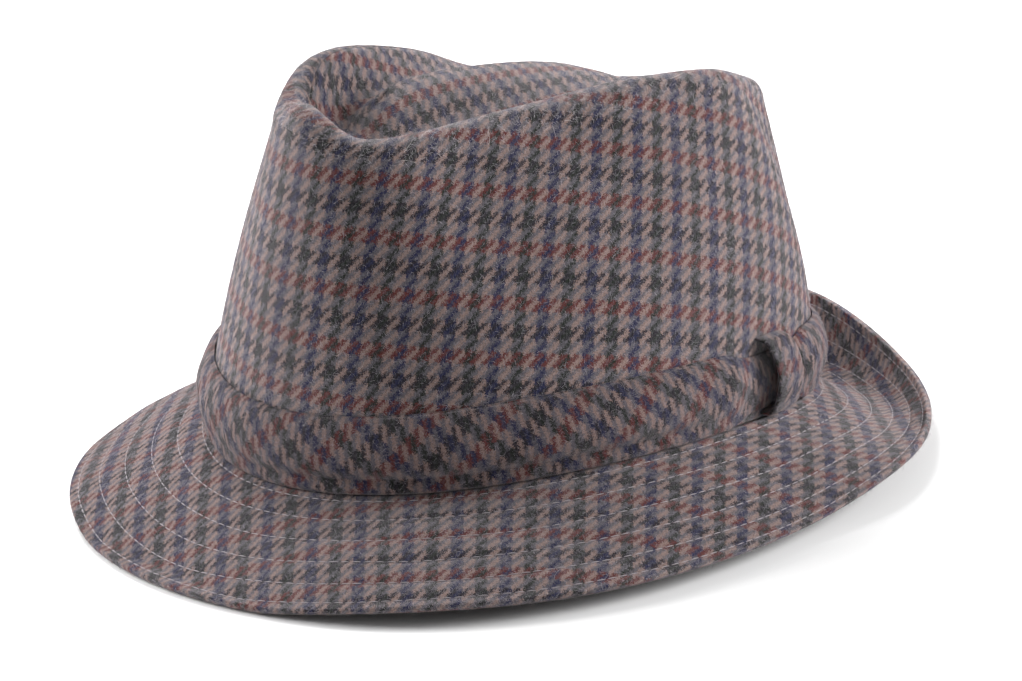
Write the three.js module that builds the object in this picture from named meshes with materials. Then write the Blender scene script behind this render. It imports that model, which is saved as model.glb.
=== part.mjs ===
// A cloth trilby with a teardrop crown, a padded band and a short stitched brim.
// Millimetres, +Z up. The wearer looks along -Y and the wearer's left is +X.
// It lies as it rests by itself: on the front edge and the rear bend of the brim.
import * as THREE from "three";

// Head opening, crown and brim
const HEAD_LENGTH = 204;
const HEAD_WIDTH = 166;
const CROWN_HEIGHT = 105;
const DENT_DEPTH = 20;
const DENT_LEAN = 0.8;
const ISLAND_LENGTH = 86;
const ISLAND_SHIFT = 10;
const ISLAND_AHEAD = 2;
const BASE_WAVE = 5;
const BRIM_WIDTH = 42;
const BRIM_DROP = 22;
// Cloth and the clearance between pieces
const CLOTH = 2;
const BRIM_CLOTH = 2.6;
const EDGE_ROUND = 0.7;
const CLEARANCE = 0.3;
// Fold at the crown's rim and the seam just inside it
const RIM_FOLD = 7;
const SEAM_INSET = 5;
// Band and the loop that it passes through
const BAND_HEIGHT = 22;
const BAND_PROUD = 4.2;
const BAND_PLEAT = 1.6;
const LOOP_TURN = 105.5;
const LOOP_WIDTH = 14;
const LOOP_HEIGHT = 24.5;
const LOOP_PROUD = 7;
const LOOP_CLOTH = 1.5;
// How square the loop arches: below 1 it has fuller shoulders
const LOOP_ROUND = 0.6;
// Share of the band's height that the wall behind it stands upright
const UPRIGHT = 0.5;
// How the hat settles on the surface
const REST_PITCH = 2.9;
const SETTLE = 1.6;

// Number of sections around the hat, and steps along each profile
const SECTIONS = 72;
const WALL_STEPS = 7;
const FOLD_STEPS = 4;
const TIP_STEPS = 8;
const BRIM_STEPS = 6;
const LOOP_COLUMNS = 6;
const LOOP_STEPS = 10;
const PROBE = 1e-3;

// The crown's rim, a row for each section. turn counts degrees from the front by the wearer's left.
// across and along are shares of half the head's width and length, height a share of CROWN_HEIGHT,
// swell the power that the wall leans in by, dent a share of DENT_DEPTH and inset of SEAM_INSET.
const RIM_ROWS = [
  { turn: 0, across: 0, along: -0.81, height: 0.97, swell: 1.3, dent: 0.55, inset: 1 },
  { turn: 20, across: 0.18, along: -0.78, height: 0.9, swell: 1.15, dent: 0.5, inset: 1 },
  { turn: 40, across: 0.295, along: -0.665, height: 0.905, swell: 1, dent: 0.45, inset: 1 },
  { turn: 60, across: 0.36, along: -0.475, height: 0.93, swell: 1.05, dent: 0.5, inset: 1 },
  { turn: 80, across: 0.44, along: -0.25, height: 0.96, swell: 1.3, dent: 0.55, inset: 1 },
  { turn: 100, across: 0.54, along: -0.015, height: 0.995, swell: 1.5, dent: 0.6, inset: 0.9 },
  { turn: 120, across: 0.6, along: 0.27, height: 0.995, swell: 1.6, dent: 0.55, inset: 0.8 },
  { turn: 140, across: 0.535, along: 0.45, height: 0.955, swell: 1.6, dent: 0.4, inset: 0.7 },
  { turn: 160, across: 0.38, along: 0.66, height: 0.89, swell: 1.6, dent: 0.25, inset: 0.7 },
  { turn: 180, across: 0, along: 0.755, height: 0.85, swell: 1.6, dent: 0.15, inset: 0.7 },
  { turn: 200, across: -0.39, along: 0.685, height: 0.815, swell: 1.6, dent: 0.1, inset: 0.7 },
  { turn: 220, across: -0.57, along: 0.48, height: 0.83, swell: 1.6, dent: 0.1, inset: 0.5 },
  { turn: 240, across: -0.595, along: 0.26, height: 0.885, swell: 1.6, dent: 0.2, inset: 0.3 },
  { turn: 260, across: -0.545, along: 0.02, height: 0.965, swell: 1.5, dent: 0.35, inset: 0.2 },
  { turn: 280, across: -0.46, along: -0.235, height: 1.02, swell: 1.4, dent: 0.45, inset: 0.2 },
  { turn: 300, across: -0.375, along: -0.44, height: 1.045, swell: 1.3, dent: 0.5, inset: 0.2 },
  { turn: 320, across: -0.305, along: -0.595, height: 1.025, swell: 1.3, dent: 0.5, inset: 0.4 },
  { turn: 340, across: -0.175, along: -0.74, height: 0.955, swell: 1.3, dent: 0.5, inset: 0.8 },
];

// The raised middle of the tip, from its front end to its back end: shares of CROWN_HEIGHT.
const ISLAND_ROWS = mirrored([
  { turn: 0, height: 0.93 },
  { turn: 30, height: 0.965 },
  { turn: 60, height: 0.98 },
  { turn: 90, height: 0.975 },
  { turn: 120, height: 0.955 },
  { turn: 150, height: 0.92 },
  { turn: 180, height: 0.88 },
]);

// The brim's profile on one side. reach and bendReach are shares of BRIM_WIDTH, drop and bendDrop of
// BRIM_DROP: the edge, and the point that pulls the profile down or up between the crown and the edge.
const BRIM_ROWS = mirrored([
  { turn: 0, reach: 0.98, drop: 1, bendReach: 0.5, bendDrop: 0.4 },
  { turn: 30, reach: 1.01, drop: 0.8, bendReach: 0.5, bendDrop: 0.36 },
  { turn: 60, reach: 0.93, drop: 0.87, bendReach: 0.48, bendDrop: 0.4 },
  { turn: 90, reach: 0.81, drop: 0.84, bendReach: 0.5, bendDrop: 0.42 },
  { turn: 110, reach: 0.9, drop: 0.48, bendReach: 0.52, bendDrop: 0.42 },
  { turn: 130, reach: 0.87, drop: 0.32, bendReach: 0.57, bendDrop: 0.6 },
  { turn: 150, reach: 0.83, drop: 0, bendReach: 0.57, bendDrop: 0.82 },
  { turn: 180, reach: 0.7, drop: -0.7, bendReach: 0.53, bendDrop: 1.05 },
]);

// The band's section: proud is a share of BAND_PROUD, height of BAND_HEIGHT, pleat of BAND_PLEAT.
const BAND_SECTION = [
  { proud: 0, height: 0.03, pleat: 0 },
  { proud: 0.4, height: 0.02, pleat: 0 },
  { proud: 0.55, height: 0.1, pleat: 0 },
  { proud: 0.66, height: 0.2, pleat: -1 },
  { proud: 0.88, height: 0.34, pleat: 0.1 },
  { proud: 1, height: 0.56, pleat: 0 },
  { proud: 0.86, height: 0.78, pleat: 0 },
  { proud: 0.5, height: 0.95, pleat: 0 },
  { proud: 0.16, height: 1, pleat: 0 },
  { proud: 0, height: 0.97, pleat: 0 },
  { proud: 0, height: 0.5, pleat: 0 },
];
// Degrees around the hat: the pleat's middle and reach, and the reach of the pinch at the loop.
const PLEAT_MIDDLE = 42;
const PLEAT_REACH = 58;
const PINCH_REACH = 14;
// Shares that the pinch takes off the band's thickness and off its height
const BAND_PINCH = 0.7;
const BAND_NARROW = 0.25;

const radians = THREE.MathUtils.degToRad;
const smooth = THREE.MathUtils.smoothstep;

// Rows for half a turn, repeated on the other side of the hat.
function mirrored(rows) {
  const others = rows.filter((row) => row.turn % 180 !== 0).reverse();
  return [...rows, ...others.map((row) => ({ ...row, turn: 360 - row.turn }))];
}

// A column of a table at any turn, by a smooth curve through its rows, closed after 360 degrees.
function around(rows, column, turn) {
  const at = THREE.MathUtils.euclideanModulo(turn, 360);
  const count = rows.length;
  let index = count - 1;
  for (let i = 0; i < count; i += 1) if (rows[i].turn <= at) index = i;
  const pick = (step) => {
    const row = rows[THREE.MathUtils.euclideanModulo(index + step, count)];
    return { turn: row.turn + 360 * Math.floor((index + step) / count), value: row[column] };
  };
  const [before, start, end, after] = [pick(-1), pick(0), pick(1), pick(2)];
  const span = end.turn - start.turn;
  const share = (at - start.turn) / span;
  const slopeStart = ((end.value - before.value) / (end.turn - before.turn)) * span;
  const slopeEnd = ((after.value - start.value) / (after.turn - start.turn)) * span;
  const [square, cube] = [share ** 2, share ** 3];
  return (
    (2 * cube - 3 * square + 1) * start.value +
    (cube - 2 * square + share) * slopeStart +
    (3 * square - 2 * cube) * end.value +
    (cube - square) * slopeEnd
  );
}

// Degrees between two turns, the short way round.
function turnsApart(turn, other) {
  return Math.abs(THREE.MathUtils.euclideanModulo(turn - other + 180, 360) - 180);
}

// The oval where crown and brim meet, and its outward direction.
function basePoint(turn) {
  const angle = radians(turn);
  return new THREE.Vector3(
    (HEAD_WIDTH / 2) * Math.sin(angle),
    (-HEAD_LENGTH / 2) * Math.cos(angle),
    -BASE_WAVE * Math.cos(2 * angle),
  );
}

function outward(turn) {
  const angle = radians(turn);
  return new THREE.Vector3(
    Math.sin(angle) / HEAD_WIDTH,
    -Math.cos(angle) / HEAD_LENGTH,
    0,
  ).normalize();
}

// The rim's highest line, and the line along the middle of the tip that the sections end on.
function rimPoint(turn) {
  return new THREE.Vector3(
    (HEAD_WIDTH / 2) * around(RIM_ROWS, "across", turn),
    (HEAD_LENGTH / 2) * around(RIM_ROWS, "along", turn),
    CROWN_HEIGHT * around(RIM_ROWS, "height", turn),
  );
}

function islandPoint(turn) {
  const side = turnsApart(turn, 0);
  return new THREE.Vector3(
    -ISLAND_SHIFT,
    (-ISLAND_LENGTH / 2) * Math.cos(radians(side)) - ISLAND_AHEAD,
    CROWN_HEIGHT * around(ISLAND_ROWS, "height", side),
  );
}

// The share of the wall's height below which it stands upright, behind the band.
function uprightShare(turn) {
  return (UPRIGHT * BAND_HEIGHT) / wallHeight(turn);
}

function wallHeight(turn) {
  return rimPoint(turn).z - RIM_FOLD - basePoint(turn).z;
}

// The wall below the fold. rise runs from 0 at the brim to 1 where the fold starts.
function wallPoint(turn, rise) {
  const base = basePoint(turn);
  const rim = rimPoint(turn);
  const foot = new THREE.Vector3(rim.x, rim.y, 0).addScaledVector(outward(turn), RIM_FOLD);
  const upright = uprightShare(turn);
  const lean = (Math.max(rise - upright, 0) / (1 - upright)) ** around(RIM_ROWS, "swell", turn);
  return new THREE.Vector3(
    THREE.MathUtils.lerp(base.x, foot.x, lean),
    THREE.MathUtils.lerp(base.y, foot.y, lean),
    THREE.MathUtils.lerp(base.z, rim.z - RIM_FOLD, rise),
  );
}

// The crown's outer skin. along runs 0 to 1 up the wall, to 2 over the fold and to 3 across the tip.
function crownPoint(turn, along) {
  if (along <= 1) return wallPoint(turn, along);
  const rim = rimPoint(turn);
  if (along <= 2) {
    const bend = (along - 1) * (Math.PI / 2);
    const out = outward(turn).multiplyScalar(RIM_FOLD * Math.cos(bend));
    return new THREE.Vector3(rim.x, rim.y, rim.z - RIM_FOLD * (1 - Math.sin(bend))).add(out);
  }
  const across = Math.min(along - 2, 1);
  const island = islandPoint(turn);
  const level = THREE.MathUtils.lerp(rim.z, island.z, smooth(across, 0, 1));
  const dent = DENT_DEPTH * around(RIM_ROWS, "dent", turn) * Math.sin(Math.PI * across ** DENT_LEAN) ** 2;
  return new THREE.Vector3(
    THREE.MathUtils.lerp(rim.x, island.x, across),
    THREE.MathUtils.lerp(rim.y, island.y, across),
    level - dent,
  );
}

// The outward direction of the crown's skin.
function crownNormal(turn, along) {
  const round = crownPoint(turn + 1, along).sub(crownPoint(turn - 1, along));
  const up = crownPoint(turn, along + PROBE).sub(crownPoint(turn, along - PROBE));
  return round.cross(up).normalize();
}

// A place beside the crown's wall, at a height above the brim and a distance out from the wall.
function besideCrown(turn, height, proud) {
  const place = wallPoint(turn, height / wallHeight(turn));
  return place.addScaledVector(outward(turn), CLEARANCE + proud);
}

// The level distance from the rim to the middle line of the tip.
function tipReach(turn) {
  return rimPoint(turn).setZ(0).distanceTo(islandPoint(turn).setZ(0));
}

// How far along the tip its seam lies.
function seamAt(turn) {
  const inset = SEAM_INSET * around(RIM_ROWS, "inset", turn);
  return 2 + inset / tipReach(turn);
}

// Turns the hat onto the surface that it rests on and keeps its cloth above that surface.
const drop = -BASE_WAVE - BRIM_DROP - BRIM_CLOTH / 2;
const front = -HEAD_LENGTH / 2 - BRIM_WIDTH * around(BRIM_ROWS, "reach", 0);
const pitch = radians(-REST_PITCH);
const lift = -(drop * Math.cos(pitch) + front * Math.sin(pitch)) - SETTLE;
function settled(point, lowest = 0) {
  const turned = point.clone().applyAxisAngle(new THREE.Vector3(1, 0, 0), pitch);
  return turned.setZ(Math.max(turned.z + lift, lowest));
}

// A mesh from triangles given by three points each.
function meshOf(name, triangles, material) {
  const geometry = new THREE.BufferGeometry().setFromPoints(triangles);
  geometry.computeVertexNormals();
  const mesh = new THREE.Mesh(geometry, material);
  mesh.name = name;
  return mesh;
}

// The two triangles of a quad a b c d, without those that have no area.
function addQuad(triangles, a, b, c, d) {
  const least = PROBE ** 2;
  for (const corners of [[a, b, c], [a, c, d]]) {
    const area = new THREE.Triangle(...corners).getArea();
    if (area > least) triangles.push(...corners);
  }
}

// A closed body around the hat from sectionAt(turn), a list of points that closes on itself. The
// point numbered seam isn't joined to the next one: there the two halves of the hat meet.
function ringBody(name, sectionAt, material, seam = -1) {
  const sections = [];
  for (let i = 0; i < SECTIONS; i += 1) sections.push(sectionAt((360 * i) / SECTIONS));
  const triangles = [];
  sections.forEach((section, i) => {
    const next = sections[(i + 1) % SECTIONS];
    section.forEach((point, k) => {
      if (k === seam) return;
      const far = (k + 1) % section.length;
      addQuad(triangles, point, next[k], next[far], section[far]);
    });
  });
  return meshOf(name, triangles, material);
}

function shares(steps) {
  return Array.from({ length: steps + 1 }, (_, i) => i / steps);
}

// The side panel turns over the rim and ends at the seam.
function crownSideSection(turn) {
  const seam = seamAt(turn);
  const upright = uprightShare(turn);
  const wall = [0, ...shares(WALL_STEPS).map((share) => THREE.MathUtils.lerp(upright, 1, share))];
  const fold = shares(FOLD_STEPS).slice(1).map((share) => 1 + share);
  const stops = [...wall, ...fold, (2 + seam) / 2, seam];
  const outer = stops.map((along) => crownPoint(turn, along));
  const inner = stops.map((along) =>
    crownPoint(turn, along).addScaledVector(crownNormal(turn, along), -CLOTH),
  );
  return [...outer, ...inner.reverse()].map((point) => settled(point));
}

// The top panel starts a clearance past the seam and closes along the middle line.
function crownTipSection(turn) {
  const start = seamAt(turn) + (2 * CLEARANCE) / tipReach(turn);
  const stops = shares(TIP_STEPS).map((share) => THREE.MathUtils.lerp(start, 3, share));
  const outer = stops.map((along) => crownPoint(turn, along));
  const inner = stops.map((along, i) => {
    const down = i === TIP_STEPS ? new THREE.Vector3(0, 0, 1) : crownNormal(turn, along);
    return crownPoint(turn, along).addScaledVector(down, -CLOTH);
  });
  return [...outer, ...inner.reverse()].map((point) => settled(point));
}

// The brim's middle surface, from the crown at 0 to its edge at 1.
function brimPoint(turn, share) {
  const [width, depth] = [BRIM_WIDTH, BRIM_DROP];
  const bend = { out: around(BRIM_ROWS, "bendReach", turn), down: around(BRIM_ROWS, "bendDrop", turn) };
  const edge = { out: around(BRIM_ROWS, "reach", turn), down: around(BRIM_ROWS, "drop", turn) };
  const [first, second] = [2 * share * (1 - share), share ** 2];
  const out = CLEARANCE + width * (first * bend.out + second * edge.out);
  const down = BRIM_CLOTH / 2 + depth * (first * bend.down + second * edge.down);
  const point = basePoint(turn).addScaledVector(outward(turn), out);
  return point.setZ(point.z - down);
}

function brimSection(turn) {
  const half = BRIM_CLOTH / 2;
  const stops = shares(BRIM_STEPS);
  const layer = (share, side) => {
    const slope = brimPoint(turn, share + PROBE).sub(brimPoint(turn, share - PROBE)).normalize();
    const flat = outward(turn);
    const up = new THREE.Vector3(0, 0, slope.dot(flat)).addScaledVector(flat, -slope.z).normalize();
    return brimPoint(turn, share).addScaledVector(share === 0 ? new THREE.Vector3(0, 0, 1) : up, side);
  };
  const top = stops.map((share) => settled(layer(share, half), BRIM_CLOTH));
  const under = stops.map((share) => settled(layer(share, -half)));
  const tip = brimPoint(turn, 1).addScaledVector(outward(turn), half * EDGE_ROUND);
  return [...under, settled(tip, half), ...top.reverse()];
}

// The band's section, narrowed where it goes through the loop and creased by a pleat at the front.
function bandSection(turn) {
  const pinched = 1 - smooth(turnsApart(turn, LOOP_TURN), PINCH_REACH / 2, PINCH_REACH);
  const pleated = 1 - smooth(turnsApart(turn, PLEAT_MIDDLE), PLEAT_REACH / 2, PLEAT_REACH);
  return BAND_SECTION.map((row) => {
    const height = THREE.MathUtils.lerp(row.height, 1 / 2, BAND_NARROW * pinched);
    const padding = BAND_PROUD * row.proud * (1 - BAND_PINCH * pinched);
    return settled(besideCrown(turn, BAND_HEIGHT * height, padding + BAND_PLEAT * row.pleat * pleated));
  });
}

// The loop is a strap that arches over the band, on the wearer's left towards the back.
function makeLoop(material) {
  const perDegree = basePoint(LOOP_TURN + 1).distanceTo(basePoint(LOOP_TURN - 1)) / 2;
  const arch = (column, step, thinner) => {
    const angle = Math.PI * (step / LOOP_STEPS);
    const half = LOOP_HEIGHT / 2 - CLEARANCE;
    const height = CLEARANCE * 2 + half - (half - thinner) * Math.cos(angle);
    const proud = (LOOP_PROUD - thinner) * Math.sin(angle) ** LOOP_ROUND;
    const turn = LOOP_TURN + (LOOP_WIDTH / perDegree) * (column / LOOP_COLUMNS - 1 / 2);
    return settled(besideCrown(turn, height, proud));
  };
  const profile = (column) => {
    const steps = Array.from({ length: LOOP_STEPS + 1 }, (_, i) => i);
    const outer = steps.map((step) => arch(column, step, 0));
    const inner = steps.map((step) => arch(column, step, LOOP_CLOTH));
    return { outer, inner, ring: [...outer, ...inner.reverse()] };
  };
  const triangles = [];
  for (let column = 0; column < LOOP_COLUMNS; column += 1) {
    const [near, far] = [profile(column).ring, profile(column + 1).ring];
    near.forEach((point, k) => {
      const next = (k + 1) % near.length;
      addQuad(triangles, point, far[k], far[next], near[next]);
    });
  }
  for (const [column, isLast] of [[0, false], [LOOP_COLUMNS, true]]) {
    const { ring } = profile(column);
    for (let k = 0; k < LOOP_STEPS; k += 1) {
      const [a, b] = [ring[k], ring[k + 1]];
      const [c, d] = [ring[ring.length - 2 - k], ring[ring.length - 1 - k]];
      if (isLast) addQuad(triangles, d, c, b, a);
      else addQuad(triangles, a, b, c, d);
    }
  }
  return meshOf("band_loop", triangles, material);
}

const cloth = (color) => new THREE.MeshStandardMaterial({ color, roughness: 0.95, metalness: 0 });

const hat = new THREE.Group();
hat.add(
  ringBody("crown_side", crownSideSection, cloth(0x6b5d5e)),
  ringBody("crown_tip", crownTipSection, cloth(0x74686a), TIP_STEPS),
  ringBody("brim", brimSection, cloth(0x665a5c)),
  ringBody("band", bandSection, cloth(0x5a5054)),
  makeLoop(cloth(0x625658)),
);

// The origin is under the middle of the hat, on the surface.
const box = new THREE.Box3().setFromObject(hat);
const middle = box.getCenter(new THREE.Vector3());
hat.position.set(-middle.x, -middle.y, -box.min.z);

export default hat;
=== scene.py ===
"""A cloth trilby in a brushed wool check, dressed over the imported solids.

The hat's form repeats the sizes and tables of the solids at a finer step, so each cloth piece
stands where its solid stands. Lengths are in millimetres, and Blender's objects are in metres.
"""

import logging
import math
from dataclasses import dataclass, field
from enum import Enum
from typing import Any, Sequence

import bmesh
import bpy
import numpy as np
from mathutils import Matrix, Vector

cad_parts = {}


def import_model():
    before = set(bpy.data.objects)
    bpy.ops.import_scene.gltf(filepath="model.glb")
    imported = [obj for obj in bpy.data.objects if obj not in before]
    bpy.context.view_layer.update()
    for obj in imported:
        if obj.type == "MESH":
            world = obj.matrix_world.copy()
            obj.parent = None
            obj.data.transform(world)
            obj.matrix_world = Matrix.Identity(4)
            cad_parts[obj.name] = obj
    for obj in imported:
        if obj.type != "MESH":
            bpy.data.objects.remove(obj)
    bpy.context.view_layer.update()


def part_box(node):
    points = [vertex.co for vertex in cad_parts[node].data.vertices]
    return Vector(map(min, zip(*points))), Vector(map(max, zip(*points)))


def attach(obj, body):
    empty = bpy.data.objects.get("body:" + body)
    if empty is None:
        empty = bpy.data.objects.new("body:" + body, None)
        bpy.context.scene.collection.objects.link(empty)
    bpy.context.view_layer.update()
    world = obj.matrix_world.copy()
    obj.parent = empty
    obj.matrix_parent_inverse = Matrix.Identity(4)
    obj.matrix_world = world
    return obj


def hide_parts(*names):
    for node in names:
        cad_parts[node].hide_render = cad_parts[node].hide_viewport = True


LOG = logging.getLogger("trilby")
MM = 0.001
BODY = "root"
NUDGE = 0.01
JOIN_REACH = 0.005
FINE_TURNS = 721
FLOOR_GAP = 0.2

Array = np.ndarray
Color = tuple[float, float, float]


def between(share: Array, ends: tuple[Array, Array], slopes: tuple[Array, Array]) -> Array:
    """A smooth curve between two values.

    Args:
        share: how far along it, from 0 to 1.
        ends: the values at its ends.
        slopes: its slopes there.

    Returns:
        The value at each share.
    """
    square, cube = share**2, share**3
    return (
        (2 * cube - 3 * square + 1) * ends[0]
        + (cube - 2 * square + share) * slopes[0]
        + (3 * square - 2 * cube) * ends[1]
        + (cube - square) * slopes[1]
    )


@dataclass(frozen=True)
class Table:
    """Rows of shares around the hat, by degrees from the front, closed after 360."""

    columns: tuple[str, ...]
    rows: tuple[tuple[float, ...], ...]

    def at(self, column: str, turn: Array) -> Array:
        """A column at any turn, by a smooth curve through its rows.

        Args:
            column: the column's name.
            turn: degrees from the front.

        Returns:
            The column's value for each turn.
        """
        values = np.array([row[self.columns.index(column)] for row in self.rows])
        turns = np.array([row[0] for row in self.rows])
        count = len(turns)
        at = np.mod(turn, 360.0)
        index = np.searchsorted(turns, at, side="right") - 1

        def pick(step: int) -> tuple[Array, Array]:
            """The turn and value of a row some steps away."""
            place = index + step
            laps = np.floor_divide(place, count)
            return turns[place % count] + 360.0 * laps, values[place % count]

        (t0, v0), (t1, v1), (t2, v2), (t3, v3) = pick(-1), pick(0), pick(1), pick(2)
        span = t2 - t1
        share = (at - t1) / span
        slopes = (v2 - v0) / (t2 - t0) * span, (v3 - v1) / (t3 - t1) * span
        return between(share, (v1, v2), slopes)


def mirrored(columns: tuple[str, ...], rows: tuple[tuple[float, ...], ...]) -> Table:
    """A table from rows for half a turn, repeated on the other side of the hat."""
    others = [(360.0 - row[0], *row[1:]) for row in reversed(rows) if row[0] % 180]
    return Table(columns, (*rows, *others))


RIM_ROWS = Table(
    ("turn", "across", "along", "height", "swell", "dent", "inset"),
    (
        (0, 0, -0.81, 0.97, 1.3, 0.55, 1),
        (20, 0.18, -0.78, 0.9, 1.15, 0.5, 1),
        (40, 0.295, -0.665, 0.905, 1, 0.45, 1),
        (60, 0.36, -0.475, 0.93, 1.05, 0.5, 1),
        (80, 0.44, -0.25, 0.96, 1.3, 0.55, 1),
        (100, 0.54, -0.015, 0.995, 1.5, 0.6, 0.9),
        (120, 0.6, 0.27, 0.995, 1.6, 0.55, 0.8),
        (140, 0.535, 0.45, 0.955, 1.6, 0.4, 0.7),
        (160, 0.38, 0.66, 0.89, 1.6, 0.25, 0.7),
        (180, 0, 0.755, 0.85, 1.6, 0.15, 0.7),
        (200, -0.39, 0.685, 0.815, 1.6, 0.1, 0.7),
        (220, -0.57, 0.48, 0.83, 1.6, 0.1, 0.5),
        (240, -0.595, 0.26, 0.885, 1.6, 0.2, 0.3),
        (260, -0.545, 0.02, 0.965, 1.5, 0.35, 0.2),
        (280, -0.46, -0.235, 1.02, 1.4, 0.45, 0.2),
        (300, -0.375, -0.44, 1.045, 1.3, 0.5, 0.2),
        (320, -0.305, -0.595, 1.025, 1.3, 0.5, 0.4),
        (340, -0.175, -0.74, 0.955, 1.3, 0.5, 0.8),
    ),
)
ISLAND_ROWS = mirrored(
    ("turn", "height"),
    ((0, 0.93), (30, 0.965), (60, 0.98), (90, 0.975), (120, 0.955), (150, 0.92), (180, 0.88)),
)
BRIM_ROWS = mirrored(
    ("turn", "reach", "drop", "bendReach", "bendDrop"),
    (
        (0, 0.98, 1, 0.5, 0.4),
        (30, 1.01, 0.8, 0.5, 0.36),
        (60, 0.93, 0.87, 0.48, 0.4),
        (90, 0.81, 0.84, 0.5, 0.42),
        (110, 0.9, 0.48, 0.52, 0.42),
        (130, 0.87, 0.32, 0.57, 0.6),
        (150, 0.83, 0, 0.57, 0.82),
        (180, 0.7, -0.7, 0.53, 1.05),
    ),
)
BAND_SECTION = (
    (0, 0.03, 0),
    (0.4, 0.02, 0),
    (0.55, 0.1, 0),
    (0.66, 0.2, -1),
    (0.88, 0.34, 0.1),
    (1, 0.56, 0),
    (0.86, 0.78, 0),
    (0.5, 0.95, 0),
    (0.16, 1, 0),
    (0, 0.97, 0),
    (0, 0.5, 0),
)


def smooth(value: Array, low: float, high: float) -> Array:
    """A smooth step from 0 at low to 1 at high."""
    share = np.clip((value - low) / (high - low), 0.0, 1.0)
    return share * share * (3 - 2 * share)


def squared(value: Array, power: float) -> Array:
    """A sine or cosine made squarer or rounder by a power, with its sign kept."""
    return np.sign(value) * np.abs(value) ** power


def turns_apart(turn: Array, other: float) -> Array:
    """Degrees between two turns, the short way round."""
    return np.abs(np.mod(turn - other + 180.0, 360.0) - 180.0)


def unit(vectors: Array) -> Array:
    """Vectors brought to length 1."""
    return vectors / np.maximum(np.linalg.norm(vectors, axis=-1, keepdims=True), 1e-9)


def stack(*parts: Array) -> Array:
    """Coordinates of any matching shapes joined into points."""
    return np.stack(np.broadcast_arrays(*parts), axis=-1).astype(float)


@dataclass(frozen=True)
class Wave:
    """A soft wave round the hat: how many there are, how they slant, their phase and share."""

    count: int
    slant: float
    phase: float = 0.0
    share: float = 1.0


def waved(turn: Array, along: Array, table: tuple[Wave, ...]) -> Array:
    """The sum of some soft waves at turns round the hat and shares along a piece."""
    angle = np.radians(turn)
    return sum(
        wave.share * np.sin(wave.count * angle + wave.slant * along + wave.phase) for wave in table
    )


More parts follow.
